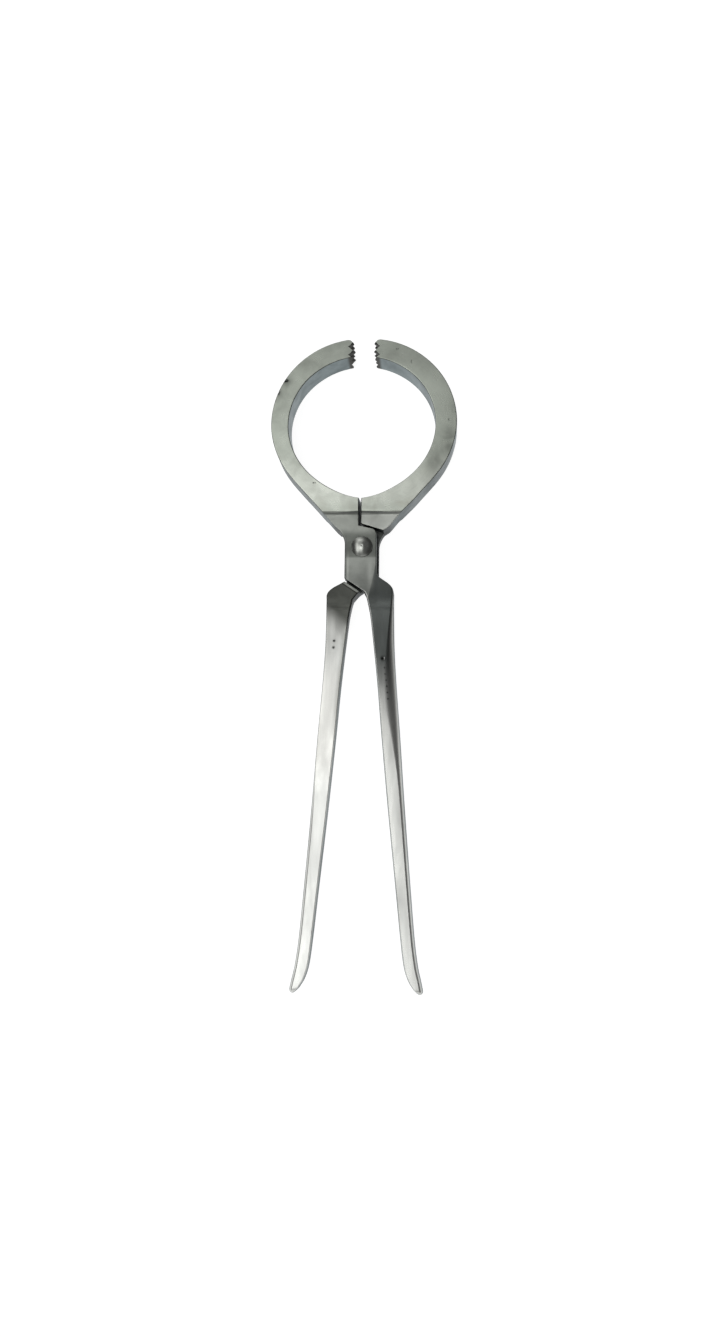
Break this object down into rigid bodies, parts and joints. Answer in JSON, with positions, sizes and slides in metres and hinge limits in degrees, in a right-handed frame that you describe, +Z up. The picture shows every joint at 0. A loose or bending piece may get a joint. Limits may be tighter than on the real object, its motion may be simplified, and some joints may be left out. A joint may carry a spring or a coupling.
{
  "type": "ring-jawed pincer tongs",
  "caption": "Long-handled steel pincer tongs: two forged halves turn on one rivet; their round jaws form an open ring with toothed tips that close on the work.",
  "frame": {"origin": "centre of the bounding box's bottom face: the plane the two rings lie on, halfway along the tool and across it", "axes": "+Y along the tool from the handles to the jaw tips, +X across it towards the rear half's jaw, +Z up through its thickness towards the domed rivet head, along the rivet's axis"},
  "size_m": [0.1102, 0.38, 0.0174],
  "materials": {
    "front_half": "satin ground stainless steel, with darker ground shoulders and light handling wear",
    "rear_half": "satin ground stainless steel, with darker ground shoulders and light handling wear",
    "pivot_rivet": "polished domed head, slightly darker than the halves"
  },
  "bodies": {
    "rear_body": {"rear_half": "rear_half", "pivot_rivet": "pivot_rivet"},
    "front_body": {"front_half": "front_half"}
  },
  "joints": [
    {"name": "pivot", "type": "hinge", "parent": "rear_body", "child": "front_body", "pos_m": [-0.0002, 0.0623, 0.008], "axis": [0, 0, 1], "range_deg": [-2.3, 85]}
  ]
}
